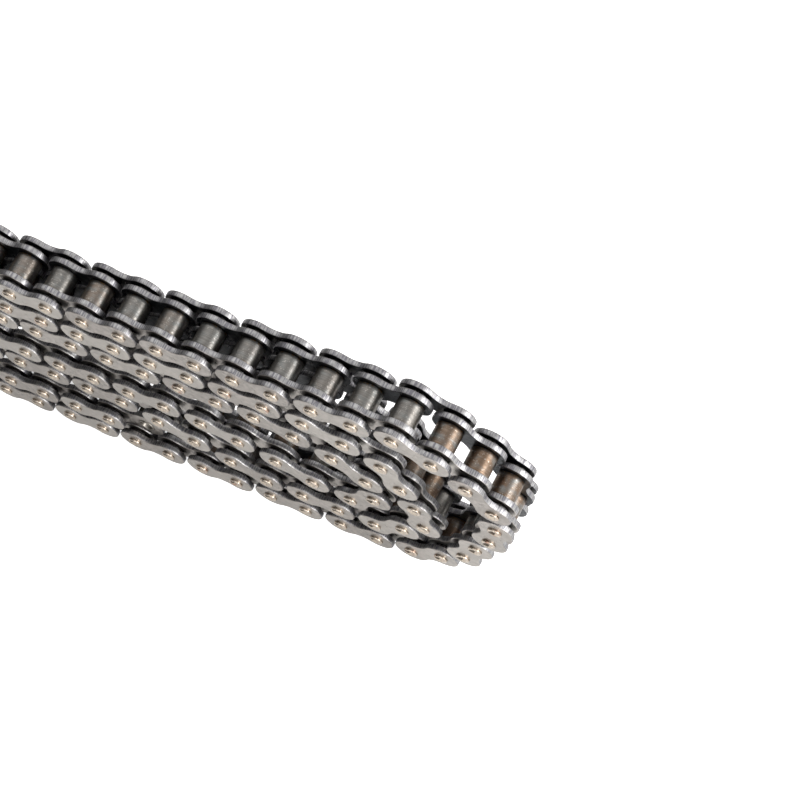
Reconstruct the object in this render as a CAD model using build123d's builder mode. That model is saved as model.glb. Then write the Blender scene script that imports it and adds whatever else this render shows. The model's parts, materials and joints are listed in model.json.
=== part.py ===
from build123d import *

import os
from math import asin, atan2, cos, degrees, hypot, pi, sin, sqrt

# A sealed roller chain, wound into a flat hank that stands on its plate edges.
# +X runs along the straight runs, the pins lie along Y and the runs are stacked along Z.
# The origin is under the middle of the hank, on the surface it stands on. Millimetres.

# Sizes of the chain
pitch = 15.875
inner_width = 9.53  # between the inner plates
plate_end_gap = 0.875  # between the ends of neighbouring inner plates
inner_waist = 10.6
inner_plate_thickness = 2.3
outer_plate_drop = 0.5  # how much smaller the radius of an outer plate's end is
outer_waist = 9.4
outer_plate_thickness = 2.2
seal_gap = 1.6  # between an inner plate and the outer plate beside it
pin_diameter = 5.25
pin_head_spread = 0.75  # how much wider a staked end is than the pin
pin_head_proud = 0.9
bush_diameter = 7.3
bush_proud = 0.3  # past the inner plates, inside the seals
roller_diameter = 10.16
edge_break = 0.3

# Clearances
pin_clearance = 0.05  # radial, pin in bush
roller_clearance = 0.05  # radial, roller on bush
roller_end_play = 0.1  # at each end of a roller
seal_clearance = 0.05  # round the bush, and to each plate
nested_clearance = 0.1  # least, from a plate's end to the waist that it sits in

# How the chain is wound, in pitches
free_end = -7  # where the free end stands, along the top run
free_links = 14  # links of the top run that lift off the hank
top_run_spacing = 0.98  # from the top run to the run below it
fold_centre = -4  # middle of the left-hand fold of the lower runs

# Sizes that follow
inner_end_radius = (pitch - plate_end_gap) / 2
outer_end_radius = inner_end_radius - outer_plate_drop
pin_head_diameter = pin_diameter + pin_head_spread
bush_bore = pin_diameter + 2 * pin_clearance
roller_bore = bush_diameter + 2 * roller_clearance
inner_plate_face = inner_width / 2
inner_plate_back = inner_plate_face + inner_plate_thickness
outer_plate_face = inner_plate_back + seal_gap
outer_plate_back = outer_plate_face + outer_plate_thickness
seal_section = seal_gap / 2 - seal_clearance
seal_radius = bush_diameter / 2 + seal_clearance + seal_section

# Between runs whose plate ends sit in each other's waists, and how far along a link
# from one to the next reaches, in pitches
nested_room = inner_end_radius + inner_waist / 2 + nested_clearance
nested_spacing = max(sqrt(3) / 2, nested_room / pitch)
nested_step = sqrt(1 - nested_spacing**2)


# The winding: each pin's place, in pitches


def run_height(run):
    """Height of a run, with the top run at 0 and the runs below it nested."""
    if run == 0:
        return 0
    return -top_run_spacing - (run - 1) * nested_spacing


def bend_angle(links, span):
    """Angle between the links of an arc of equal links that spans a distance."""
    low, high = 1e-6, 2 * pi / links - 1e-6
    for _ in range(60):
        middle = (low + high) / 2
        if sin(links * middle / 2) / sin(middle / 2) > span:
            low = middle
        else:
            high = middle
    return low


def follow(pins, end, links, turn):
    """Add the pins of links that run to end, straight or on one arc.

    turn is -1 for an arc that turns clockwise along the chain, and 1 for the other way.
    """
    x, z = pins[-1]
    along, up = end[0] - x, end[1] - z
    span, heading = hypot(along, up), atan2(up, along)
    angle = bend_angle(links, span) if links - span > 1e-6 else 0
    for link in range(links):
        direction = heading - turn * angle * ((links - 1) / 2 - link)
        x, z = x + cos(direction), z + sin(direction)
        pins.append((x, z))


# The sixth run drops towards the bottom run on its way to the right-hand fold
slope_links = 4
slope_top = 2 - nested_step
low_right = run_height(8) + 1
slope_end = slope_top + sqrt(slope_links**2 - (run_height(5) - low_right) ** 2)

right_fold_outer = [
    ((10, run_height(0)), 10 - free_end, -1),
    ((12.05, -2.1), 3, -1),
    ((11.1, -4.9), 3, -1),
    ((8, run_height(8)), 4, -1),
]
left_fold_outer = [
    ((fold_centre - 1, run_height(8)), 9 - fold_centre, -1),
    ((fold_centre - 1 - 2 * nested_step, run_height(6)), 2, -1),
    ((fold_centre - 1, run_height(4)), 2, -1),
]
right_fold_inner = [
    ((3, run_height(4)), 4 - fold_centre, -1),
    ((6.8, -4.75), 4, -1),
    ((7.85, -2.6), 4, 1),
    ((5, run_height(2)), 3, 1),
]
left_fold_upper = [
    ((-4, run_height(2)), 9, -1),
    ((-4 - nested_step, run_height(3)), 1, -1),
    ((-5 - nested_step, run_height(3)), 1, -1),
    ((-5 - 2 * nested_step, run_height(2)), 1, -1),
    ((-5 - nested_step, run_height(1)), 1, -1),
]
right_fold_middle = [
    ((7 - nested_step, run_height(1)), 12, -1),
    ((9.3, -1.9), 3, -1),
    ((9.75, -4.85), 3, -1),
    ((slope_end + 3, low_right), 2, -1),
    ((slope_end, low_right), 3, -1),
    ((slope_top, run_height(5)), slope_links, -1),
]
left_fold_inner = [
    ((fold_centre - nested_step, run_height(5)), 2 - fold_centre, -1),
    ((fold_centre - 2 * nested_step, run_height(6)), 1, -1),
    ((fold_centre - nested_step, run_height(7)), 1, -1),
    ((2 - nested_step, run_height(7)), 2 - fold_centre, -1),
]

winding = [(free_end, run_height(0))]
for stretch in (
    right_fold_outer,
    left_fold_outer,
    right_fold_inner,
    left_fold_upper,
    right_fold_middle,
    left_fold_inner,
):
    for end, links, turn in stretch:
        follow(winding, end, links, turn)

middle_x = (min(x for x, z in winding) + max(x for x, z in winding)) / 2 * pitch
lowest_z = min(z for x, z in winding) * pitch - inner_end_radius
pin_places = [(x * pitch - middle_x, z * pitch - lowest_z) for x, z in winding]
link_count = len(pin_places) - 1


def link_location(link):
    """Where a link's middle lies and which way it points."""
    (x0, z0), (x1, z1) = pin_places[link], pin_places[link + 1]
    slope = degrees(atan2(z1 - z0, x1 - x0))
    return Location(((x0 + x1) / 2, 0, (z0 + z1) / 2), (0, -slope, 0))


def pin_location(pin):
    """Where a pin's axis crosses the middle of the chain."""
    x, z = pin_places[pin]
    return Location((x, 0, z))


# The pieces of one link, at the link's middle


def plate_pair(end_radius, waist, hole_diameter, face, thickness):
    """Two waisted plates, one each side, with round ends on the pins."""
    half = pitch / 2
    side_radius = (half**2 + waist**2 / 4 - end_radius**2) / (2 * end_radius - waist)
    side_height = waist / 2 + side_radius
    share = end_radius / (end_radius + side_radius)
    blend_x, blend_z = half * (1 - share), side_height * share
    with BuildPart() as pair:
        with BuildSketch(Plane.XZ.offset(face)):
            with GridLocations(pitch, 0, 2, 1):
                Circle(end_radius)
            Rectangle(2 * blend_x, 2 * blend_z)
            with GridLocations(0, 2 * side_height, 1, 2):
                Circle(side_radius, mode=Mode.SUBTRACT)
            with GridLocations(pitch, 0, 2, 1):
                Circle(hole_diameter / 2, mode=Mode.SUBTRACT)
        extrude(amount=thickness)
        mirror(about=Plane.XZ)
    return pair.part


inner_plates = plate_pair(
    inner_end_radius, inner_waist, bush_diameter, inner_plate_face, inner_plate_thickness
)
outer_plates = plate_pair(
    outer_end_radius, outer_waist, pin_diameter, outer_plate_face, outer_plate_thickness
)

with BuildPart() as bushes:
    with GridLocations(pitch, 0, 2, 1):
        with Locations(Rotation(90, 0, 0)):
            Cylinder(bush_diameter / 2, 2 * (inner_plate_back + bush_proud))
            Cylinder(
                bush_bore / 2, 2 * (inner_plate_back + bush_proud), mode=Mode.SUBTRACT
            )

with BuildPart() as pins:
    with BuildSketch():
        with BuildLine():
            Polyline(
                (0, 0),
                (pin_diameter / 2, 0),
                (pin_diameter / 2, outer_plate_back),
                (pin_head_diameter / 2, outer_plate_back),
                (pin_head_diameter / 2, outer_plate_back + pin_head_proud - edge_break),
                (pin_head_diameter / 2 - edge_break, outer_plate_back + pin_head_proud),
                (0, outer_plate_back + pin_head_proud),
                close=True,
            )
        make_face()
    revolve(axis=Axis.Y)
    mirror(about=Plane.XZ)

with BuildPart() as pin_pair:
    with GridLocations(pitch, 0, 2, 1):
        add(pins.part)

with BuildPart() as roller:
    with Locations(Rotation(90, 0, 0)):
        Cylinder(roller_diameter / 2, inner_width - 2 * roller_end_play)
    chamfer(roller.edges().filter_by(GeomType.CIRCLE), edge_break)
    with Locations(Rotation(90, 0, 0)):
        Cylinder(roller_bore / 2, inner_width, mode=Mode.SUBTRACT)

with BuildPart() as seal_rings:
    for side in (-1, 1):
        with Locations(Plane.XZ.offset(side * (inner_plate_back + seal_gap / 2))):
            with GridLocations(pitch, 0, 2, 1):
                Torus(seal_radius, seal_section)


# The nodes: each link of the free run on its own, and the rest of the hank by kind


def make_node(name, piece, locations):
    """One node: copies of a piece, each its own solid, written to its STEP file."""
    with BuildPart() as node:
        with Locations(*locations):
            add(piece)
    node.part.label = name
    export_step(node.part, f"parts/{name}.step")


os.makedirs("parts", exist_ok=True)

for link in range(free_links):
    place = link_location(link)
    number = link // 2 + 1
    if link % 2 == 0:
        make_node(f"inner_plates_{number}", inner_plates, [place])
        make_node(f"bushes_{number}", bushes.part, [place])
        make_node(f"roller_{number}a", roller.part, [pin_location(link)])
        make_node(f"roller_{number}b", roller.part, [pin_location(link + 1)])
    else:
        make_node(f"outer_plates_{number}", outer_plates, [place])
        make_node(f"pins_{number}", pin_pair.part, [place])
        make_node(f"seal_rings_{number}", seal_rings.part, [place])

tail_link = link_count - 1
wound_inner = range(free_links, tail_link, 2)
wound_outer = range(free_links + 1, tail_link, 2)

make_node("hank_inner_plates", inner_plates, [link_location(i) for i in wound_inner])
make_node("hank_bushes", bushes.part, [link_location(i) for i in wound_inner])
make_node("hank_rollers", roller.part, [pin_location(i) for i in range(free_links, tail_link)])
make_node("hank_outer_plates", outer_plates, [link_location(i) for i in wound_outer])
make_node("hank_pins", pin_pair.part, [link_location(i) for i in wound_outer])
make_node("hank_seal_rings", seal_rings.part, [link_location(i) for i in wound_outer])

make_node("tail_inner_plates", inner_plates, [link_location(tail_link)])
make_node("tail_bushes", bushes.part, [link_location(tail_link)])
make_node("tail_rollers", roller.part, [pin_location(tail_link), pin_location(link_count)])
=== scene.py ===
"""The looks of a sealed roller chain wound into a flat hank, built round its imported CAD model.

The pins lie along Y, the straight runs along X, and the hank stands on its plate edges at Z = 0.
Every link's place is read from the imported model. Positions are in metres.
"""

import json
import logging
import math
import random
from collections.abc import Callable
from dataclasses import dataclass, field
from enum import Enum

import bmesh
import bpy
import numpy as np
from mathutils import Matrix, Vector


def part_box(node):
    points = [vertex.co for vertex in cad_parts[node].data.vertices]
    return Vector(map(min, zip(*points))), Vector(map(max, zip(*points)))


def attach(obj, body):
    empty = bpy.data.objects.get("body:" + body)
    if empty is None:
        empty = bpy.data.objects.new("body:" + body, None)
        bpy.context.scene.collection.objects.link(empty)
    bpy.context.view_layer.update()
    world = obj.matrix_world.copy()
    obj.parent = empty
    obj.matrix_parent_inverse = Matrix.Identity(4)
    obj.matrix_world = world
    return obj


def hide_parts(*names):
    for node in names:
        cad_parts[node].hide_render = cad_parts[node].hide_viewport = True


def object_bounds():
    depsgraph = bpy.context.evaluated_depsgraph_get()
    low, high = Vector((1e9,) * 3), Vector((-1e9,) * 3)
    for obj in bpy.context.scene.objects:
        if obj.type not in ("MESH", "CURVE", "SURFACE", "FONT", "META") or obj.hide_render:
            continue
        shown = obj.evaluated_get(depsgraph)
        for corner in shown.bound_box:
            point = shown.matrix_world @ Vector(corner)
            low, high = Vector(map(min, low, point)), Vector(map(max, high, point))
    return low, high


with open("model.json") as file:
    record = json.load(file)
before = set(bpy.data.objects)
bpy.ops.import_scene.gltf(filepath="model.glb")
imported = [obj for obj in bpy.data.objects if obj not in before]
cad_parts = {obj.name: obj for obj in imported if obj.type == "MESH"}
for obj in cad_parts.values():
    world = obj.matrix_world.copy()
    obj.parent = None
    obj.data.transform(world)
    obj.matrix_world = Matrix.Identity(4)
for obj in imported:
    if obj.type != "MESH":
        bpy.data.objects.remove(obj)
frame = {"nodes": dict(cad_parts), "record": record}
cad_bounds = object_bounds()

log = logging.getLogger("chain")

MM = 0.001

# Sizes that the chain's parts share, in millimetres
PITCH = 15.875
INNER_FACE = 9.53 / 2  # from the chain's middle to the inner plates
INNER_THICKNESS = 2.3
SEAL_GAP = 1.6  # between an inner plate and the outer plate beside it
OUTER_THICKNESS = 2.2
INNER_BACK = INNER_FACE + INNER_THICKNESS
OUTER_FACE = INNER_BACK + SEAL_GAP
OUTER_BACK = OUTER_FACE + OUTER_THICKNESS
ROLLER_HALF = 4.665
BUSH_RADIUS = 3.65
BUSH_BORE = 2.7

# Settings and inputs of nodes that are used more than once
SMOOTH = {"interpolation_type": "SMOOTHSTEP"}
OF_COLOURS = {"data_type": "RGBA"}
OF_NUMBERS = {"data_type": "FLOAT"}
FACTOR = 0
COLOUR_A, COLOUR_B = 6, 7
NUMBER_A, NUMBER_B = 2, 3

Inputs = dict[str | int, object]


# Colours and nodes


def linear(hex_colour: str) -> tuple[float, float, float, float]:
    """Turn an sRGB hex colour into linear light.

    Args:
        hex_colour: Six hex digits after a hash sign.

    Returns:
        Red, green, blue and an alpha of 1.
    """
    channels = []
    for start in (1, 3, 5):
        value = int(hex_colour[start : start + 2], 16) / 255
        if value <= 0.04045:
            channels.append(value / 12.92)
        else:
            channels.append(((value + 0.055) / 1.055) ** 2.4)
    return (*channels, 1.0)


def add_node(
    tree: bpy.types.NodeTree,
    kind: str,
    settings: dict[str, object] | None = None,
    inputs: Inputs | None = None,
) -> bpy.types.Node:
    """Add one node, with its settings, its values and its links.

    Args:
        tree: The node tree that gets the node.
        kind: Blender's type name for the node.
        settings: Attributes of the node.
        inputs: For each input, by name or place, a value, the output that feeds it, or a node
            whose first output in use feeds it.

    Returns:
        The new node.
    """
    node = tree.nodes.new(kind)
    for key, value in (settings or {}).items():
        setattr(node, key, value)
    for key, value in (inputs or {}).items():
        if isinstance(value, bpy.types.Node):
            value = next(output for output in value.outputs if output.enabled)
        if isinstance(value, bpy.types.NodeSocket):
            tree.links.new(value, node.inputs[key])
        else:
            node.inputs[key].default_value = value
    return node


# Finishes


@dataclass(frozen=True)
class Finish:
    """A finish: what the part is made of and how its surface was made. Sizes in millimetres."""

    name: str
    colour: str
    roughness: float

    def material(self) -> bpy.types.Material:
        """Make the material, with its shader's fixed values on the shader itself.

        Returns:
            The new material.
        """
        made = bpy.data.materials.new(self.name)
        made.use_nodes = True
        tree = made.node_tree
        tree.nodes.clear()
        shader = add_node(tree, "ShaderNodeBsdfPrincipled", inputs=self.surface(tree))
        add_node(tree, "ShaderNodeOutputMaterial", inputs={"Surface": shader})
        return made

    def surface(self, tree: bpy.types.NodeTree) -> Inputs:
        """Add the nodes that colour and texture the surface.

        Args:
            tree: The material's nodes.

        Returns:
            What goes into the shader's inputs.
        """
        raise NotImplementedError

    @staticmethod
    def layered(
        tree: bpy.types.NodeTree, base: str, coats: list[tuple[bpy.types.Node, str]]
    ) -> bpy.types.Node:
        """Lay colours over a base, one after another.

        Args:
            tree: The material's nodes.
            base: The colour underneath.
            coats: How much each coat covers, and its colour, from the lowest to the top one.

        Returns:
            The mixed colour.
        """
        under = linear(base)
        for share, colour in coats:
            under = add_node(
                tree,
                "ShaderNodeMix",
                OF_COLOURS,
                {FACTOR: share, COLOUR_A: under, COLOUR_B: linear(colour)},
            )
        return under

    @staticmethod
    def pattern(
        tree: bpy.types.NodeTree, size: tuple[float, float, float], detail: float
    ) -> bpy.types.Node:
        """Add a noise whose features have a real size.

        Args:
            tree: The material's nodes.
            size: How large the features are along X, Y and Z, in millimetres.
            detail: How many finer layers the noise has.

        Returns:
            The noise, from 0 to 1.
        """
        place = add_node(tree, "ShaderNodeTexCoord")
        stretched = add_node(
            tree,
            "ShaderNodeMapping",
            {"vector_type": "POINT"},
            {
                "Vector": place.outputs["Object"],
                "Scale": tuple(1 / (length * MM) for length in size),
            },
        )
        return add_node(
            tree,
            "ShaderNodeTexNoise",
            inputs={"Vector": stretched, "Scale": 1.0, "Detail": detail},
        )


@dataclass(frozen=True)
class TumbledPlateSteel(Finish):
    """Carbon steel plate, blanked in a press, hardened, shot-peened and tumbled.

    The peened faces are satin grey and softly mottled. The blanked edges are brighter and carry
    the short dark lines of the shear, across the plate's thickness. The faces that look inward
    are darkened with painted shade.
    """

    edge_colour: str = "#A9A8A7"
    shear_colour: str = "#76747A"
    # Painted shade: this dark colour is laid on the faces that look towards the chain's middle,
    # where shade falls between the plates
    inner_shade_colour: str = "#33363A"
    mottle_colour: str = "#8F8983"
    cloud_colour: str = "#8B8580"
    clean_colour: str = "#CBC7C0"
    mottle_size: float = 1.9
    cloud_size: float = 7.0
    dent_size: float = 4.5
    # Peening dents and shear lines are finer than this, and are drawn as coarse as they need to show
    peen_size: float = 0.45
    shear_width: float = 0.45
    shear_length: float = 5.0
    depth: float = 0.22
    peen_share: float = 0.08
    shear_share: float = 0.07

    def surface(self, tree: bpy.types.NodeTree) -> Inputs:
        """Add peening and mottling to the faces, and shear lines to the edges.

        Args:
            tree: The material's nodes.

        Returns:
            What goes into the shader's inputs.
        """
        place = add_node(tree, "ShaderNodeTexCoord")
        normal = add_node(tree, "ShaderNodeSeparateXYZ", inputs={0: place.outputs["Normal"]})
        across = add_node(
            tree, "ShaderNodeMath", {"operation": "ABSOLUTE"}, {0: normal.outputs["Y"]}
        )
        face = add_node(
            tree, "ShaderNodeMapRange", SMOOTH, {"Value": across, "From Min": 0.45, "From Max": 0.9}
        )
        mottle = self.pattern(tree, (self.mottle_size,) * 3, 3.0)
        shear = self.pattern(tree, (self.shear_width, self.shear_length, self.shear_width), 2.0)
        peened = self.peened(tree, mottle, self.inner_shade(tree, place, normal))
        colour = add_node(
            tree,
            "ShaderNodeMix",
            OF_COLOURS,
            {FACTOR: face, COLOUR_A: self.sheared(tree, shear), COLOUR_B: peened},
        )
        return {
            "Base Color": colour,
            "Metallic": 1.0,
            "Roughness": self.gloss(tree, face, mottle, shear),
            "Normal": self.relief(tree, face, shear),
        }

    def peened(
        self, tree: bpy.types.NodeTree, mottle: bpy.types.Node, shaded_inside: bpy.types.Node
    ) -> bpy.types.Node:
        """Colour the peened faces: mottled, clouded, cleaner on some plates, and darkened inside
        with painted shade.

        Args:
            tree: The material's nodes.
            mottle: The noise of the mottling.
            shaded_inside: How much painted shade the surface gets.

        Returns:
            The faces' colour.
        """
        patchy = add_node(
            tree, "ShaderNodeMapRange", SMOOTH, {"Value": mottle, "From Min": 0.35, "From Max": 0.65}
        )
        cloud = self.pattern(tree, (self.cloud_size,) * 3, 1.0)
        cloudy = add_node(
            tree,
            "ShaderNodeMapRange",
            SMOOTH,
            {"Value": cloud, "From Min": 0.4, "From Max": 0.65, "To Max": 0.45},
        )
        tone = add_node(tree, "ShaderNodeAttribute", {"attribute_name": "tone"})
        clean = add_node(
            tree, "ShaderNodeMapRange", SMOOTH, {"Value": tone.outputs["Fac"], "To Max": 0.4}
        )
        coats = [
            (patchy, self.colour),
            (cloudy, self.cloud_colour),
            (clean, self.clean_colour),
            # Painted shade on the faces that look inward
            (shaded_inside, self.inner_shade_colour),
        ]
        return self.layered(tree, self.mottle_colour, coats)

    def sheared(self, tree: bpy.types.NodeTree, shear: bpy.types.Node) -> bpy.types.Node:
        """Colour the blanked edges, with the dark lines of the shear.

        Args:
            tree: The material's nodes.
            shear: The noise of the shear lines.

        Returns:
            The edges' colour.
        """
        line = add_node(
            tree, "ShaderNodeMapRange", SMOOTH, {"Value": shear, "From Min": 0.4, "From Max": 0.62}
        )
        return self.layered(tree, self.edge_colour, [(line, self.shear_colour)])

    @staticmethod
    def inner_shade(
        tree: bpy.types.NodeTree, place: bpy.types.Node, normal: bpy.types.Node
    ) -> bpy.types.Node:
        """Find the faces that look towards the chain's middle, which get painted shade.

        Args:
            tree: The material's nodes.
            place: The texture coordinates.
            normal: The surface's direction, in its parts.

        Returns:
            How much painted shade the surface gets, from 0 to 1.
        """
        spot = add_node(tree, "ShaderNodeSeparateXYZ", inputs={0: place.outputs["Object"]})
        side = add_node(tree, "ShaderNodeMath", {"operation": "SIGN"}, {0: spot.outputs["Y"]})
        outward = add_node(
            tree, "ShaderNodeMath", {"operation": "MULTIPLY"}, {0: side, 1: normal.outputs["Y"]}
        )
        inward = add_node(tree, "ShaderNodeMath", {"operation": "MULTIPLY"}, {0: outward, 1: -1.0})
        return add_node(
            tree, "ShaderNodeMapRange", SMOOTH, {"Value": inward, "From Min": 0.3, "From Max": 0.8}
        )

    def gloss(
        self,
        tree: bpy.types.NodeTree,
        face: bpy.types.Node,
        mottle: bpy.types.Node,
        shear: bpy.types.Node,
    ) -> bpy.types.Node:
        """Set how rough the faces and the edges are.

        Args:
            tree: The material's nodes.
            face: How much the surface belongs to a face and not to an edge.
            mottle: The noise of the mottling.
            shear: The noise of the shear lines.

        Returns:
            The roughness.
        """
        of_face = add_node(
            tree,
            "ShaderNodeMapRange",
            SMOOTH,
            {
                "Value": mottle,
                "From Min": 0.3,
                "From Max": 0.7,
                "To Min": self.roughness - 0.05,
                "To Max": self.roughness + 0.08,
            },
        )
        of_edge = add_node(
            tree,
            "ShaderNodeMapRange",
            SMOOTH,
            {"Value": shear, "From Min": 0.4, "From Max": 0.65, "To Min": 0.36, "To Max": 0.5},
        )
        return add_node(
            tree, "ShaderNodeMix", OF_NUMBERS, {FACTOR: face, NUMBER_A: of_edge, NUMBER_B: of_face}
        )

    def relief(
        self, tree: bpy.types.NodeTree, face: bpy.types.Node, shear: bpy.types.Node
    ) -> bpy.types.Node:
        """Dent and peen the faces, and score the edges.

        Args:
            tree: The material's nodes.
            face: How much the surface belongs to a face and not to an edge.
            shear: The noise of the shear lines.

        Returns:
            The raised and sunk surface's direction.
        """
        peen = self.pattern(tree, (self.peen_size,) * 3, 2.0)
        dents = self.pattern(tree, (self.dent_size,) * 3, 1.0)
        wavy = add_node(
            tree,
            "ShaderNodeMath",
            {"operation": "MULTIPLY_ADD"},
            {0: peen, 1: self.peen_share, 2: dents},
        )
        scored = add_node(
            tree, "ShaderNodeMath", {"operation": "MULTIPLY"}, {0: shear, 1: self.shear_share}
        )
        height = add_node(
            tree, "ShaderNodeMix", OF_NUMBERS, {FACTOR: face, NUMBER_A: scored, NUMBER_B: wavy}
        )
        return add_node(
            tree,
            "ShaderNodeBump",
            inputs={"Strength": 1.0, "Distance": self.depth * MM, "Height": height},
        )


@dataclass(frozen=True)
class GroundRollerSteel(Finish):
    """Hardened roller steel, centreless ground and oiled.

    It is dark with a bronze cast from tempering, with fine marks round it, and a little old
    grease shows gold where the roller meets the plates.
    """

    bronze_colour: str = "#7B6858"
    # Old grease near the roller's ends; on the pins the same name carries painted shade
    grease_and_shade_colour: str = "#8F6A2C"
    mark_colour: str = "#2E2925"
    nick_colour: str = "#B9B4AC"
    # Grinding marks are finer than this, and are drawn as coarse as they need to show
    mark_size: tuple[float, float, float] = (9.0, 0.3, 9.0)
    cast_size: tuple[float, float, float] = (4.0, 3.0, 4.0)
    nick_size: float = 0.7
    grease_size: tuple[float, float, float] = (1.3, 0.6, 1.3)
    grease_width: float = 1.0
    depth: float = 0.004

    def surface(self, tree: bpy.types.NodeTree) -> Inputs:
        """Add marks round the roller, its temper cast, its nicks and the grease at its ends.

        Args:
            tree: The material's nodes.

        Returns:
            What goes into the shader's inputs.
        """
        marks = self.pattern(tree, self.mark_size, 2.0)
        streak = add_node(
            tree,
            "ShaderNodeMapRange",
            SMOOTH,
            {"Value": marks, "From Min": 0.35, "From Max": 0.65, "To Max": 0.22},
        )
        nick = self.pattern(tree, (self.nick_size,) * 3, 2.0)
        bare = add_node(
            tree,
            "ShaderNodeMapRange",
            SMOOTH,
            {"Value": nick, "From Min": 0.62, "From Max": 0.7, "To Max": 0.6},
        )
        coats = [
            (self.temper(tree), self.bronze_colour),
            (streak, self.mark_colour),
            (bare, self.nick_colour),
            (self.grease(tree), self.grease_and_shade_colour),
        ]
        rough = add_node(
            tree,
            "ShaderNodeMapRange",
            SMOOTH,
            {
                "Value": marks,
                "From Min": 0.3,
                "From Max": 0.7,
                "To Min": self.roughness - 0.06,
                "To Max": self.roughness + 0.1,
            },
        )
        raised = add_node(
            tree,
            "ShaderNodeBump",
            inputs={"Strength": 1.0, "Distance": self.depth * MM, "Height": marks},
        )
        return {
            "Base Color": self.layered(tree, self.colour, coats),
            "Metallic": 1.0,
            "Roughness": rough,
            "Normal": raised,
        }

    def temper(self, tree: bpy.types.NodeTree) -> bpy.types.Node:
        """Find the patches of the temper's bronze, which some rollers have more of.

        Args:
            tree: The material's nodes.

        Returns:
            How bronze the steel is, from 0 to 1.
        """
        cloud = self.pattern(tree, self.cast_size, 3.0)
        patchy = add_node(
            tree, "ShaderNodeMapRange", SMOOTH, {"Value": cloud, "From Min": 0.25, "From Max": 0.6}
        )
        tone = add_node(tree, "ShaderNodeAttribute", {"attribute_name": "tone"})
        strength = add_node(
            tree,
            "ShaderNodeMapRange",
            SMOOTH,
            {"Value": tone.outputs["Fac"], "From Min": 0.1, "From Max": 0.8, "To Min": 0.2},
        )
        return add_node(
            tree, "ShaderNodeMath", {"operation": "MULTIPLY"}, {0: patchy, 1: strength}
        )

    def grease(self, tree: bpy.types.NodeTree) -> bpy.types.Node:
        """Find where old grease lies, in specks near the roller's ends.

        Args:
            tree: The material's nodes.

        Returns:
            How much grease there is, from 0 to 1.
        """
        place = add_node(tree, "ShaderNodeTexCoord")
        spot = add_node(tree, "ShaderNodeSeparateXYZ", inputs={0: place.outputs["Object"]})
        out = add_node(tree, "ShaderNodeMath", {"operation": "ABSOLUTE"}, {0: spot.outputs["Y"]})
        near_end = add_node(
            tree,
            "ShaderNodeMapRange",
            SMOOTH,
            {
                "Value": out,
                "From Min": (ROLLER_HALF - self.grease_width) * MM,
                "From Max": ROLLER_HALF * MM,
            },
        )
        speck = self.pattern(tree, self.grease_size, 3.0)
        specks = add_node(
            tree, "ShaderNodeMapRange", SMOOTH, {"Value": speck, "From Min": 0.5, "From Max": 0.62}
        )
        return add_node(
            tree, "ShaderNodeMath", {"operation": "MULTIPLY"}, {0: near_end, 1: specks}
        )


@dataclass(frozen=True)
class StakedPinSteel(Finish):
    """Case-hardened pin steel, ground bright, its ends staked over by a punch.

    The ends are bright and slightly warm, scuffed by the punch, whose mark is darkened with painted
    shade, and a few have a trace of rust.
    """

    rust_colour: str = "#9A6048"
    # Painted shade: this dark colour is laid in each pin end's punch mark
    grease_and_shade_colour: str = "#2E2823"
    scuff_colour: str = "#6B5F54"
    scuff_size: float = 0.8
    rust_size: float = 2.2
    depth: float = 0.03

    def surface(self, tree: bpy.types.NodeTree) -> Inputs:
        """Add the punch's scuffs, the trace of rust and the painted shade in the punch's mark.

        Args:
            tree: The material's nodes.

        Returns:
            What goes into the shader's inputs.
        """
        scuff = self.pattern(tree, (self.scuff_size,) * 3, 3.0)
        rubbed = add_node(
            tree,
            "ShaderNodeMapRange",
            SMOOTH,
            {"Value": scuff, "From Min": 0.45, "From Max": 0.75, "To Max": 0.4},
        )
        # Painted shade: the punch's mark is darkened by the depth that is stored with the mesh
        punch_shade = add_node(tree, "ShaderNodeAttribute", {"attribute_name": "punch_shade"})
        shaded_punch = add_node(
            tree,
            "ShaderNodeMapRange",
            SMOOTH,
            {"Value": punch_shade.outputs["Fac"], "From Min": 0.2, "From Max": 0.7, "To Max": 0.85},
        )
        coats = [
            (rubbed, self.scuff_colour),
            (self.rust(tree), self.rust_colour),
            (shaded_punch, self.grease_and_shade_colour),
        ]
        rough = add_node(
            tree,
            "ShaderNodeMapRange",
            SMOOTH,
            {
                "Value": scuff,
                "From Min": 0.3,
                "From Max": 0.7,
                "To Min": self.roughness - 0.05,
                "To Max": self.roughness + 0.15,
            },
        )
        raised = add_node(
            tree,
            "ShaderNodeBump",
            inputs={"Strength": 1.0, "Distance": self.depth * MM, "Height": scuff},
        )
        return {
            "Base Color": self.layered(tree, self.colour, coats),
            "Metallic": 1.0,
            "Roughness": rough,
            "Normal": raised,
        }

    def rust(self, tree: bpy.types.NodeTree) -> bpy.types.Node:
        """Find the patches of rust, which only a few pins have.

        Args:
            tree: The material's nodes.

        Returns:
            How much rust there is, from 0 to 1.
        """
        tone = add_node(tree, "ShaderNodeAttribute", {"attribute_name": "tone"})
        few = add_node(
            tree,
            "ShaderNodeMapRange",
            SMOOTH,
            {"Value": tone.outputs["Fac"], "From Min": 0.8, "From Max": 0.97},
        )
        patch = self.pattern(tree, (self.rust_size,) * 3, 2.0)
        patches = add_node(
            tree,
            "ShaderNodeMapRange",
            SMOOTH,
            {"Value": patch, "From Min": 0.5, "From Max": 0.68, "To Max": 0.6},
        )
        return add_node(tree, "ShaderNodeMath", {"operation": "MULTIPLY"}, {0: few, 1: patches})


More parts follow.
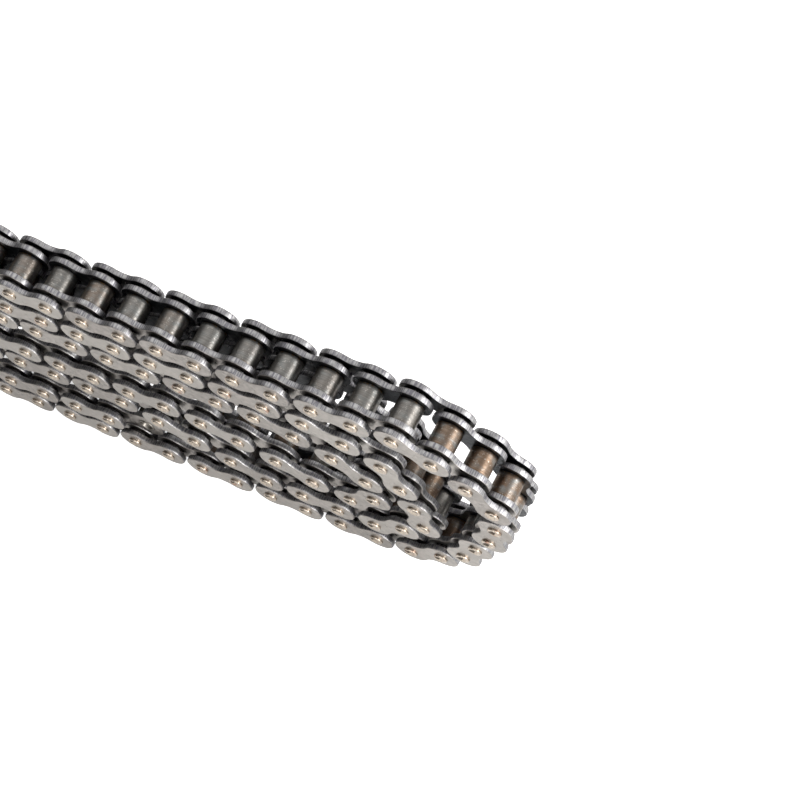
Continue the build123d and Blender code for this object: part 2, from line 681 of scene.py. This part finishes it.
@dataclass(frozen=True)
class DrawnBushSteel(Finish):
    """Curled and hardened bush steel, oiled: smooth, grey, with faint marks along it."""

    mark_colour: str = "#6B665F"
    mark_size: tuple[float, float, float] = (0.4, 5.0, 0.4)

    def surface(self, tree: bpy.types.NodeTree) -> Inputs:
        """Add faint drawing marks.

        Args:
            tree: The material's nodes.

        Returns:
            What goes into the shader's inputs.
        """
        marks = self.pattern(tree, self.mark_size, 2.0)
        clear = add_node(
            tree, "ShaderNodeMapRange", SMOOTH, {"Value": marks, "From Min": 0.35, "From Max": 0.65}
        )
        colour = self.layered(tree, self.colour, [(clear, self.mark_colour)])
        rough = add_node(
            tree,
            "ShaderNodeMapRange",
            SMOOTH,
            {
                "Value": marks,
                "From Min": 0.3,
                "From Max": 0.7,
                "To Min": self.roughness,
                "To Max": self.roughness + 0.12,
            },
        )
        return {"Base Color": colour, "Metallic": 1.0, "Roughness": rough}


@dataclass(frozen=True)
class MouldedNitrile(Finish):
    """Moulded nitrile rubber, wet with grease: near black, with soft glints."""

    film_colour: str = "#1D1A17"
    film_size: float = 1.1
    ior: float = 1.52
    depth: float = 0.03

    def surface(self, tree: bpy.types.NodeTree) -> Inputs:
        """Add the grease's uneven film.

        Args:
            tree: The material's nodes.

        Returns:
            What goes into the shader's inputs.
        """
        film = self.pattern(tree, (self.film_size,) * 3, 2.0)
        thick = add_node(
            tree, "ShaderNodeMapRange", SMOOTH, {"Value": film, "From Min": 0.4, "From Max": 0.7}
        )
        colour = self.layered(tree, self.colour, [(thick, self.film_colour)])
        rough = add_node(
            tree,
            "ShaderNodeMapRange",
            SMOOTH,
            {
                "Value": film,
                "From Min": 0.35,
                "From Max": 0.7,
                "To Min": self.roughness,
                "To Max": self.roughness + 0.25,
            },
        )
        raised = add_node(
            tree,
            "ShaderNodeBump",
            inputs={"Strength": 1.0, "Distance": self.depth * MM, "Height": film},
        )
        return {"Base Color": colour, "IOR": self.ior, "Roughness": rough, "Normal": raised}


@dataclass(frozen=True)
class SprayedBoard(Finish):
    """Board sprayed matt white: an even, pale, shadowless ground."""

    thick_colour: str = "#FDFDFC"
    glow_colour: str = "#FFFFFF"
    glow: float = 0.7
    spray_size: float = 40.0

    def surface(self, tree: bpy.types.NodeTree) -> Inputs:
        """Add the spray's faint mottling, and the glow that keeps its own look pale.

        Args:
            tree: The material's nodes.

        Returns:
            What goes into the shader's inputs.
        """
        spray = self.pattern(tree, (self.spray_size,) * 3, 2.0)
        thick = add_node(
            tree, "ShaderNodeMapRange", SMOOTH, {"Value": spray, "From Min": 0.3, "From Max": 0.7}
        )
        colour = self.layered(tree, self.colour, [(thick, self.thick_colour)])
        path = add_node(tree, "ShaderNodeLightPath")
        seen = add_node(
            tree,
            "ShaderNodeMath",
            {"operation": "MULTIPLY"},
            {0: path.outputs["Is Camera Ray"], 1: self.glow},
        )
        return {
            "Base Color": colour,
            "Roughness": self.roughness,
            "Emission Color": linear(self.glow_colour),
            "Emission Strength": seen,
        }


class Slot(Enum):
    """The record's material slots, and the finish that each one stands for."""

    PLATE = "plate_steel"
    PIN = "pin_steel"
    BUSH = "bush_steel"
    ROLLER = "roller_steel"
    SEAL = "seal_rubber"

    def finish(self) -> Finish:
        """Return the slot's finish: its name, its main colour and its roughness.

        Returns:
            The finish.
        """
        return {
            Slot.PLATE: TumbledPlateSteel("tumbled_plate_steel", "#B0A9A4", 0.32),
            Slot.PIN: StakedPinSteel("staked_pin_steel", "#C9BCAD", 0.16),
            Slot.BUSH: DrawnBushSteel("drawn_bush_steel", "#8F8A83", 0.28),
            Slot.ROLLER: GroundRollerSteel("ground_roller_steel", "#7E7F7D", 0.36),
            Slot.SEAL: MouldedNitrile("moulded_nitrile", "#0A0A0B", 0.14),
        }[self]


# Places


@dataclass(frozen=True)
class Place:
    """Where one part lies: its middle, and its direction from +X towards +Z."""

    x: float
    z: float
    angle: float = 0.0

    def along(self, distance: float) -> "Place":
        """Find the place that lies some way along this one's direction.

        Args:
            distance: How far along, in metres.

        Returns:
            The place, with the same direction.
        """
        return Place(
            self.x + distance * math.cos(self.angle),
            self.z + distance * math.sin(self.angle),
            self.angle,
        )


def solids_of(mesh: bpy.types.Mesh) -> list[np.ndarray]:
    """Part a mesh into the solids that it is made of.

    Args:
        mesh: The mesh of a CAD node.

    Returns:
        For each solid, the X and Z of its points.
    """
    fine = 0.001 * MM
    points = np.empty(len(mesh.vertices) * 3, np.float32)
    mesh.vertices.foreach_get("co", points)
    edges = np.empty(len(mesh.edges) * 2, np.int32)
    mesh.edges.foreach_get("vertices", edges)
    spots, spot_of = np.unique(
        np.round(points.reshape(-1, 3) / fine).astype(np.int64), axis=0, return_inverse=True
    )
    first, second = spot_of.reshape(-1)[edges].reshape(-1, 2).T
    group = np.arange(len(spots))
    before = None
    while before is None or (group != before).any():
        before = group.copy()
        low = np.minimum(group[first], group[second])
        np.minimum.at(group, first, low)
        np.minimum.at(group, second, low)
        group = group[group]
    flat = spots[:, (0, 2)] * fine
    return [flat[group == label] for label in np.unique(group)]


def link_places(node: str) -> list[Place]:
    """Find where each link of a node of plates lies, from the node's own mesh.

    Args:
        node: Name of a CAD node that holds the plates of one link or more.

    Returns:
        One place for each link, in no special order.
    """
    found: dict[tuple[int, int], Place] = {}
    for solid in solids_of(frame["nodes"][node].data):
        middle = (solid.min(0) + solid.max(0)) / 2
        along = np.linalg.eigh(np.cov((solid - middle).T))[1][:, 1]
        if along[0] < 0:
            along = -along
        key = (round(middle[0] / MM), round(middle[1] / MM))
        found.setdefault(
            key, Place(float(middle[0]), float(middle[1]), math.atan2(along[1], along[0]))
        )
    return list(found.values())


def box_place(node: str) -> Place:
    """Find the middle of a CAD node's box.

    Args:
        node: The CAD node's name.

    Returns:
        The place of its middle.
    """
    low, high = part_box(node)
    middle = (low + high) / 2
    return Place(middle.x, middle.z)


# Shapes


@dataclass
class Shape:
    """The mesh of one part, at the middle of its link, in metres."""

    points: np.ndarray
    faces: list[tuple[int, ...]]
    smooth: list[bool]
    # How deep in a punch's mark each point lies, which the pins' painted shade follows
    punch_shade: np.ndarray

    @classmethod
    def from_bmesh(cls, mesh: bmesh.types.BMesh) -> "Shape":
        """Take a finished bmesh and free it.

        Args:
            mesh: The part, in millimetres.

        Returns:
            The part's shape, in metres.
        """
        bmesh.ops.recalc_face_normals(mesh, faces=mesh.faces)
        mesh.verts.index_update()
        points = np.array([v.co for v in mesh.verts]) * MM
        layer = mesh.verts.layers.float.get("punch_shade")
        punch_shade = np.array([v[layer] if layer else 0.0 for v in mesh.verts])
        faces = [tuple(v.index for v in face.verts) for face in mesh.faces]
        smooth = [face.smooth for face in mesh.faces]
        mesh.free()
        return cls(points, faces, smooth, punch_shade)

    def shifted(self, x: float) -> "Shape":
        """Return the shape moved along X, in millimetres."""
        return Shape(self.points + np.array([x, 0.0, 0.0]) * MM, self.faces, self.smooth, self.punch_shade)

    def mirrored(self) -> "Shape":
        """Mirror the shape to the chain's other side.

        Returns:
            The mirror image, with its faces turned outwards.
        """
        faces = [tuple(reversed(face)) for face in self.faces]
        flipped = self.points * np.array([1.0, -1.0, 1.0])
        return Shape(flipped, faces, self.smooth, self.punch_shade)

    def joined(self, other: "Shape") -> "Shape":
        """Join this shape and another.

        Args:
            other: The shape that is added.

        Returns:
            Both as one shape.
        """
        start = len(self.points)
        moved = [tuple(index + start for index in face) for face in other.faces]
        return Shape(
            np.concatenate((self.points, other.points)),
            self.faces + moved,
            self.smooth + other.smooth,
            np.concatenate((self.punch_shade, other.punch_shade)),
        )

    def paired(self) -> "Shape":
        """Return the shape twice, a pitch apart, at the two ends of a link."""
        return self.shifted(-PITCH / 2).joined(self.shifted(PITCH / 2))


def add_ring(
    mesh: bmesh.types.BMesh, points: list[tuple[float, float, float]]
) -> list[bmesh.types.BMVert]:
    """Add a closed ring of points to a mesh and return its vertices."""
    return [mesh.verts.new(point) for point in points]


def circle(x: float, y: float, radius: float, segments: int) -> list[tuple[float, float, float]]:
    """Find the points of a circle round an axis along Y.

    Args:
        x: Where its axis lies, in millimetres.
        y: How far along its axis it lies, in millimetres.
        radius: Its radius, in millimetres.
        segments: How many points it has.

    Returns:
        The points, in millimetres.
    """
    points = []
    for step in range(segments):
        angle = 2 * math.pi * step / segments
        points.append((x + radius * math.cos(angle), y, radius * math.sin(angle)))
    return points


def skin(mesh: bmesh.types.BMesh, rings: list[list[bmesh.types.BMVert]]) -> None:
    """Join each ring to the next with smooth faces.

    Args:
        mesh: The mesh that holds the rings.
        rings: Rings with as many vertices each.
    """
    for first, second in zip(rings, rings[1:]):
        for index in range(len(first)):
            after = (index + 1) % len(first)
            face = mesh.faces.new((first[index], first[after], second[after], second[index]))
            face.smooth = True


def turned(profile: list[tuple[float, float]], segments: int) -> Shape:
    """Turn a closed profile round the Y axis.

    Args:
        profile: Radius and distance along Y of each of its points, in millimetres.
        segments: How many segments there are round the axis.

    Returns:
        The turned shape.
    """
    mesh = bmesh.new()
    rings = [add_ring(mesh, circle(0.0, along, radius, segments)) for radius, along in profile]
    skin(mesh, [*rings, rings[0]])
    return Shape.from_bmesh(mesh)


def both_ends(rows: list[tuple[float, float]]) -> list[tuple[float, float]]:
    """Make the profile of a sleeve from the profile of one of its ends.

    Args:
        rows: Radius and distance from the middle, from the bore outwards, in millimetres.

    Returns:
        Radius and distance along Y, round the whole sleeve.
    """
    far = [(radius, -along) for radius, along in rows]
    return far + rows[::-1]


# Parts of the chain


@dataclass
class Part:
    """A kind of part, with the slot that its finish comes from. Sizes in millimetres."""

    slot: Slot
    shape: Shape = field(init=False)

    def __post_init__(self) -> None:
        """Build the shape once, for all the copies."""
        self.shape = self.build()

    def build(self) -> Shape:
        """Return the part's shape."""
        raise NotImplementedError


@dataclass
class PlatePair(Part):
    """Two waisted link plates, one each side of the chain. Sizes in millimetres."""

    end_radius: float
    waist: float
    face: float
    thickness: float
    hole_radius: float
    hole_chamfer: float = 0.15
    hole_segments: int = 20
    outer_rounding: float = 0.5
    inner_rounding: float = 0.3
    outer_steps: int = 4
    inner_steps: int = 2
    end_segments: int = 22
    side_segments: int = 11

    def outline(self) -> list[tuple[Vector, Vector]]:
        """Go round a plate, over its two ends and its two concave sides.

        Returns:
            Points round the plate, and the direction out of it at each.
        """
        half = PITCH / 2
        side = (half**2 + self.waist**2 / 4 - self.end_radius**2) / (
            2 * self.end_radius - self.waist
        )
        height = self.waist / 2 + side
        reach = math.atan2(height, -half)
        lean = math.pi - reach
        points = []
        for end, turn in ((half, 0.0), (-half, math.pi)):
            for step in range(self.end_segments):
                angle = turn - reach + 2 * reach * step / self.end_segments
                out = Vector((math.cos(angle), math.sin(angle)))
                points.append((Vector((end, 0)) + out * self.end_radius, out))
            centre = Vector((0, height if turn == 0.0 else -height))
            for step in range(self.side_segments):
                angle = turn - lean + (2 * lean - math.pi) * step / self.side_segments
                inward = Vector((math.cos(angle), math.sin(angle)))
                points.append((centre + inward * side, -inward))
        return points

    def build(self) -> Shape:
        """Build the plate with its rolled-over edges and its two holes, and its mirror image.

        Returns:
            Both plates.
        """
        outline = self.outline()
        mesh = bmesh.new()
        rings = []
        for inset, y in self.edge_layers():
            ring = []
            for point, out in outline:
                moved = point - out * inset
                ring.append((moved.x, y, moved.y))
            rings.append(add_ring(mesh, ring))
        skin(mesh, rings)
        holes = [self.add_hole(mesh, x) for x in (-PITCH / 2, PITCH / 2)]
        for side in (0, -1):
            self.add_cap(mesh, [rings[side], *(hole[side] for hole in holes)])
        plate = Shape.from_bmesh(mesh)
        return plate.joined(plate.mirrored())

    def edge_layers(self) -> list[tuple[float, float]]:
        """Round the edge over, from the plate's inner face to its outer one.

        Returns:
            How far in, and how far out along Y, each ring of the edge lies.
        """
        back = self.face + self.thickness
        layers = []
        for step in range(self.inner_steps + 1):
            angle = math.pi / 2 * step / self.inner_steps
            inset = self.inner_rounding * (1 - math.sin(angle))
            layers.append((inset, self.face + self.inner_rounding * (1 - math.cos(angle))))
        for step in range(self.outer_steps + 1):
            angle = math.pi / 2 * step / self.outer_steps
            inset = self.outer_rounding * (1 - math.cos(angle))
            layers.append((inset, back - self.outer_rounding * (1 - math.sin(angle))))
        return layers

    def add_hole(self, mesh: bmesh.types.BMesh, x: float) -> list[list[bmesh.types.BMVert]]:
        """Add a hole's wall with a small chamfer outside.

        Args:
            mesh: The mesh of the plate.
            x: Where the hole is along the plate.

        Returns:
            The rings of its wall, from the plate's inner face to its outer one.
        """
        back = self.face + self.thickness
        rings = []
        for radius, y in (
            (self.hole_radius, self.face),
            (self.hole_radius, back - self.hole_chamfer),
            (self.hole_radius + self.hole_chamfer, back),
        ):
            rings.append(add_ring(mesh, circle(x, y, radius, self.hole_segments)))
        skin(mesh, rings)
        return rings

    @staticmethod
    def add_cap(mesh: bmesh.types.BMesh, rings: list[list[bmesh.types.BMVert]]) -> None:
        """Fill a flat face between a plate's rim and its holes.

        Args:
            mesh: The mesh of the plate.
            rings: The rim and the holes, in the plane of the face.
        """
        edges = []
        for ring in rings:
            for index, vertex in enumerate(ring):
                edges.append(mesh.edges.get((vertex, ring[(index + 1) % len(ring)])))
        bmesh.ops.triangle_fill(mesh, edges=edges, use_beauty=True, use_dissolve=False)


@dataclass
class PinPair(Part):
    """The two pins of an outer link, staked over outside its plates. Sizes in millimetres."""

    radius: float = 2.6
    shank_start: float = 1.2  # how deep in the plate the modelled end begins
    seat: float = 0.02
    seat_swell: float = 0.1
    bulge_height: float = 0.45
    bulge: float = 0.13
    crown_radii: tuple[float, ...] = (2.68, 2.5, 2.25, 1.95, 1.65, 1.35, 1.05, 0.7, 0.35)
    proud: float = 0.9
    rim_fall: float = 0.22
    rim_curve: float = 2.5
    ring_radius: float = 1.95
    dish_depth: float = 0.42
    dish_wall: float = 0.45
    dish_curve: float = 1.5
    punch: tuple[float, float] = (-0.95, 0.75)
    punch_half: tuple[float, float] = (0.95, 1.15)
    punch_edge: float = 0.3
    punch_depth: float = 0.3
    punch_margin: float = 0.05
    segments: int = 32

    def build(self) -> Shape:
        """Build a pin with both ends staked, and its twin a pitch away.

        Returns:
            Both pins.
        """
        mesh = bmesh.new()
        mesh.verts.layers.float.new("punch_shade")
        skin(mesh, [self.add_end(mesh, side) for side in (-1, 1)])
        return Shape.from_bmesh(mesh).paired()

    def crown(self, radius: float) -> float:
        """Find how far a staked end stands out of its plate.

        Args:
            radius: How far from the pin's middle.

        Returns:
            The height out of the plate.
        """
        if radius > self.ring_radius:
            share = (radius - self.ring_radius) / (self.radius + self.seat_swell - self.ring_radius)
            return self.proud * (1 - self.rim_fall * share**self.rim_curve)
        share = 1 - radius / self.ring_radius
        return self.proud - self.dish_depth * min(share / self.dish_wall, 1.0) ** self.dish_curve

    def punched(self, x: float, z: float) -> float:
        """Find how deep in the punch's mark a point of the end lies.

        Args:
            x: The point's distance along X from the pin's middle.
            z: Its distance along Z.

        Returns:
            The depth, from 0 to 1.
        """
        share = 1.0
        for value, middle, half in zip((x, z), self.punch, self.punch_half):
            share *= min(max((half - abs(value - middle)) / self.punch_edge + 0.5, 0.0), 1.0)
        return share

    def add_end(self, mesh: bmesh.types.BMesh, side: int) -> list[bmesh.types.BMVert]:
        """Add one staked end.

        Args:
            mesh: The mesh that gets it.
            side: -1 or 1, the end's side of the chain.

        Returns:
            The ring where the end meets the pin's plain shank.
        """
        layer = mesh.verts.layers.float["punch_shade"]
        rows = [
            (self.radius, -self.shank_start),
            (self.radius + self.seat_swell, self.seat),
            (self.radius + self.bulge, self.bulge_height),
        ]
        rows += [(radius, self.crown(radius)) for radius in self.crown_radii]
        rings = []
        for radius, height in rows:
            ring = []
            marks = []
            for x, _, z in circle(0.0, 0.0, radius, self.segments):
                marked = radius < self.radius - self.punch_margin
                marks.append(self.punched(x, z) if marked else 0.0)
                top = height - self.punch_depth * marks[-1]
                ring.append((x, side * (OUTER_BACK + top), z))
            rings.append(add_ring(mesh, ring))
            # The punch's depth is stored on each point, for the painted shade in the mark
            for vertex, mark in zip(rings[-1], marks):
                vertex[layer] = mark
        skin(mesh, rings)
        mesh.faces.new(rings[-1]).smooth = True
        return rings[0]


@dataclass
class BushPair(Part):
    """The two bushes of an inner link. Sizes in millimetres."""

    proud: float = 0.3  # past the inner plates, inside the seals
    rounding: float = 0.15
    segments: int = 24

    def build(self) -> Shape:
        """Build a bush with broken edges, and its twin a pitch away.

        Returns:
            Both bushes.
        """
        end = INNER_BACK + self.proud
        rows = [
            (BUSH_BORE, end - self.rounding),
            (BUSH_BORE + self.rounding, end),
            (BUSH_RADIUS - self.rounding, end),
            (BUSH_RADIUS, end - self.rounding),
        ]
        return turned(both_ends(rows), self.segments).paired()


@dataclass
class Roller(Part):
    """A roller, free on its bush. Sizes in millimetres."""

    radius: float = 5.08
    bore: float = 3.7
    bore_break: float = 0.2
    rounding: float = 0.35
    rounding_share: float = 0.3  # how far from its corner the rounding's middle lies
    band_share: float = 0.6  # how far out the plain middle of the roller reaches
    segments: int = 40

    def build(self) -> Shape:
        """Build the roller with rounded rims.

        Returns:
            The roller.
        """
        corner = self.rounding_share * self.rounding
        rows = [
            (self.bore, ROLLER_HALF - self.bore_break),
            (self.bore + self.bore_break, ROLLER_HALF),
            (self.radius - self.rounding, ROLLER_HALF),
            (self.radius - corner, ROLLER_HALF - corner),
            (self.radius, ROLLER_HALF - self.rounding),
            (self.radius, self.band_share * ROLLER_HALF),
        ]
        return turned(both_ends(rows), self.segments)


@dataclass
class SealRings(Part):
    """The four sealing rings of an outer link. Sizes in millimetres."""

    radius: float = 4.45
    section: float = 0.75
    section_segments: int = 8
    segments: int = 28

    def build(self) -> Shape:
        """Build a ring of round section, at each end of both pins.

        Returns:
            The four rings.
        """
        middle = INNER_BACK + SEAL_GAP / 2
        profile = []
        for step in range(self.section_segments):
            angle = 2 * math.pi * step / self.section_segments
            radius = self.radius + self.section * math.cos(angle)
            profile.append((radius, middle + self.section * math.sin(angle)))
        near = turned(profile, self.segments).paired()
        return near.joined(near.mirrored())


# The chain


@dataclass
class Chain:
    """The whole chain: the parts of each link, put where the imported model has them."""

    seed: int = 7
    dice: random.Random = field(init=False)
    materials: dict[Slot, bpy.types.Material] = field(init=False)
    inner_plates: PlatePair = field(init=False)
    outer_plates: PlatePair = field(init=False)
    pins: PinPair = field(init=False)
    bushes: BushPair = field(init=False)
    roller: Roller = field(init=False)
    rings: SealRings = field(init=False)

    def __post_init__(self) -> None:
        """Make the parts and the materials that all links share."""
        self.dice = random.Random(self.seed)
        self.materials = {slot: slot.finish().material() for slot in Slot}
        self.inner_plates = PlatePair(
            Slot.PLATE,
            end_radius=7.5,
            waist=10.6,
            face=INNER_FACE,
            thickness=INNER_THICKNESS,
            hole_radius=BUSH_RADIUS,
        )
        self.outer_plates = PlatePair(
            Slot.PLATE,
            end_radius=7.0,
            waist=9.4,
            face=OUTER_FACE,
            thickness=OUTER_THICKNESS,
            hole_radius=BUSH_BORE,
        )
        self.pins = PinPair(Slot.PIN)
        self.bushes = BushPair(Slot.BUSH)
        self.roller = Roller(Slot.ROLLER)
        self.rings = SealRings(Slot.SEAL)

    def build(self) -> None:
        """Put a detailed piece in place of every CAD node."""
        for body, nodes in frame["record"]["behaviour"]["bodies"].items():
            for node in nodes:
                self.replace(node, body)

    def replace(self, node: str, body: str) -> None:
        """Make the piece that stands for one CAD node.

        Args:
            node: The CAD node's name.
            body: The name of the body that it belongs to.
        """
        kinds: dict[str, tuple[Part, Callable[[], list[Place]]]] = {
            "inner_plates": (self.inner_plates, lambda: link_places(node)),
            "outer_plates": (self.outer_plates, lambda: link_places(node)),
            "pins": (self.pins, lambda: link_places(node.replace("pins", "outer_plates"))),
            "seal_rings": (
                self.rings,
                lambda: link_places(node.replace("seal_rings", "outer_plates")),
            ),
            "bushes": (self.bushes, lambda: link_places(node.replace("bushes", "inner_plates"))),
            "rollers": (self.roller, lambda: self.roller_places(node)),
            "roller": (self.roller, lambda: [box_place(node)]),
        }
        kind = next(name for name in kinds if name in node)
        part, places = kinds[kind]
        self.add_piece(f"{node}_finished", part, places(), body, node)

    @staticmethod
    def roller_places(node: str) -> list[Place]:
        """Find the ends of the inner links that a node of rollers belongs to.

        Args:
            node: The name of the CAD node of rollers.

        Returns:
            One place for each roller.
        """
        half = PITCH / 2 * MM
        places = []
        for link in link_places(node.replace("rollers", "inner_plates")):
            places += [link.along(-half), link.along(half)]
        return places

    def add_piece(
        self, name: str, part: Part, places: list[Place], body: str, node: str
    ) -> None:
        """Join a part's copies into one object that stands for a CAD node.

        Args:
            name: The piece's name.
            part: What is copied.
            places: Where the copies go.
            body: The body that the piece rides on.
            node: The CAD node that it stands for.
        """
        shape = part.shape
        count = len(shape.points)
        points = np.empty((count * len(places), 3))
        tones = np.empty(count * len(places), np.float32)
        faces: list[tuple[int, ...]] = []
        for number, place in enumerate(places):
            start = number * count
            cos, sin = math.cos(place.angle), math.sin(place.angle)
            block = points[start : start + count]
            block[:, 0] = shape.points[:, 0] * cos - shape.points[:, 2] * sin + place.x
            block[:, 1] = shape.points[:, 1]
            block[:, 2] = shape.points[:, 0] * sin + shape.points[:, 2] * cos + place.z
            tones[start : start + count] = self.dice.random()
            faces += [tuple(index + start for index in face) for face in shape.faces]
        mesh = bpy.data.meshes.new(name)
        mesh.from_pydata(points.tolist(), [], faces)
        mesh.polygons.foreach_set("use_smooth", shape.smooth * len(places))
        punch_shades = np.tile(shape.punch_shade, len(places)).astype(np.float32)
        for attribute, values in (("tone", tones), ("punch_shade", punch_shades)):
            mesh.attributes.new(attribute, "FLOAT", "POINT").data.foreach_set("value", values)
        mesh.materials.append(self.materials[part.slot])
        mesh.update()
        piece = bpy.data.objects.new(name, mesh)
        bpy.context.scene.collection.objects.link(piece)
        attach(piece, body)
        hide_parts(node)
        log.info("%s: %d copies, %d faces", name, len(places), len(faces))


# The studio


def direction(azimuth: float, elevation: float) -> Vector:
    """Find the direction from the chain to something that looks at it.

    Args:
        azimuth: Round the chain from its -Y side towards +X, in degrees.
        elevation: Up from the floor, in degrees.

    Returns:
        The direction, of length 1.
    """
    turn, lift = math.radians(azimuth), math.radians(elevation)
    across = math.cos(lift)
    return Vector((math.sin(turn) * across, -math.cos(turn) * across, math.sin(lift)))


@dataclass
class Softbox:
    """A soft rectangular lamp that faces the chain. Angles in degrees, sizes in metres."""

    name: str
    azimuth: float
    elevation: float
    distance: float
    width: float
    depth: float
    power: float

    def build(self, target: Vector) -> None:
        """Hang the lamp so that it faces a target.

        Args:
            target: What it faces.
        """
        away = direction(self.azimuth, self.elevation)
        lamp = bpy.data.lights.new(self.name, "AREA")
        lamp.shape = "RECTANGLE"
        lamp.size = self.width
        lamp.size_y = self.depth
        lamp.energy = self.power
        holder = bpy.data.objects.new(self.name, lamp)
        holder.location = target + away * self.distance
        holder.rotation_euler = (-away).to_track_quat("-Z", "Y").to_euler()
        bpy.context.scene.collection.objects.link(holder)
        log.info("%s hung", self.name)


@dataclass
class Studio:
    """A pale floor, soft light and the camera. Angles in degrees, sizes in metres."""

    lens: float = 108.66
    azimuth: float = 48.33
    elevation: float = 61.09
    roll: float = -23.73
    place: tuple[float, float, float] = (0.4115, -0.2600, 0.8401)
    nearest_seen: float = 0.01
    floor_reach: float = 25.0
    sky_colour: str = "#FFFFFF"
    sky_slope: tuple[float, float] = (1.2, 0.6)  # how the light grows towards +X and +Y
    sky_span: tuple[float, float] = (-0.2, 1.4)
    sky_light: tuple[float, float] = (0.13, 0.8)
    softboxes: tuple[Softbox, ...] = (
        Softbox("right_softbox", 84.0, 20.0, distance=1.0, width=1.3, depth=0.5, power=11.0),
        Softbox("back_softbox", 222.0, 60.0, distance=1.2, width=1.3, depth=1.1, power=4.0),
        Softbox("front_softbox", 15.0, 32.0, distance=1.2, width=1.0, depth=0.6, power=7.0),
    )

    def build(self) -> None:
        """Set up the floor, the lamps, the sky and the camera."""
        low, high = cad_bounds
        self.add_floor(low.z)
        for softbox in self.softboxes:
            softbox.build((low + high) / 2)
        self.add_sky()
        self.add_camera()
        bpy.context.scene.view_settings.view_transform = "Standard"

    def add_floor(self, height: float) -> None:
        """Lay a wide matt white board under the chain.

        Args:
            height: The height of its surface.
        """
        mesh = bpy.data.meshes.new("floor")
        board = bmesh.new()
        bmesh.ops.create_grid(board, x_segments=8, y_segments=8, size=self.floor_reach)
        board.to_mesh(mesh)
        board.free()
        mesh.materials.append(SprayedBoard("sprayed_board", "#E9E9E8", 0.9).material())
        floor = bpy.data.objects.new("floor", mesh)
        floor.location.z = height
        bpy.context.scene.collection.objects.link(floor)

    def add_sky(self) -> None:
        """Light the room evenly from above, darker towards the left-hand horizon."""
        world = bpy.data.worlds.new("studio_room")
        world.use_nodes = True
        tree = world.node_tree
        tree.nodes.clear()
        place = add_node(tree, "ShaderNodeTexCoord")
        parts = add_node(tree, "ShaderNodeSeparateXYZ", inputs={0: place.outputs["Generated"]})
        lean = parts.outputs["Z"]
        for axis, slope in zip("XY", self.sky_slope):
            lean = add_node(
                tree,
                "ShaderNodeMath",
                {"operation": "MULTIPLY_ADD"},
                {0: parts.outputs[axis], 1: slope, 2: lean},
            )
        light = add_node(
            tree,
            "ShaderNodeMapRange",
            SMOOTH,
            {
                "Value": lean,
                "From Min": self.sky_span[0],
                "From Max": self.sky_span[1],
                "To Min": self.sky_light[0],
                "To Max": self.sky_light[1],
            },
        )
        back = add_node(
            tree,
            "ShaderNodeBackground",
            inputs={"Color": linear(self.sky_colour), "Strength": light},
        )
        add_node(tree, "ShaderNodeOutputWorld", inputs={"Surface": back})
        bpy.context.scene.world = world

    def add_camera(self) -> None:
        """Place the camera, looking down on the chain's near side."""
        away = direction(self.azimuth, self.elevation)
        lens = bpy.data.cameras.new("camera")
        lens.lens = self.lens
        lens.clip_start = self.nearest_seen
        lens.clip_end = 3 * self.floor_reach
        camera = bpy.data.objects.new("camera", lens)
        level = (-away).to_track_quat("-Z", "Y").to_matrix().to_4x4()
        rolled = Matrix.Rotation(math.radians(self.roll), 4, "Z")
        camera.matrix_world = Matrix.Translation(Vector(self.place)) @ level @ rolled
        bpy.context.scene.collection.objects.link(camera)
        bpy.context.scene.camera = camera
        log.info("camera placed")


def main() -> None:
    """Build the chain and the studio."""
    logging.basicConfig(level=logging.INFO, format="%(name)s: %(message)s")
    Studio().build()
    Chain().build()


if __name__ == "__main__":
    main()
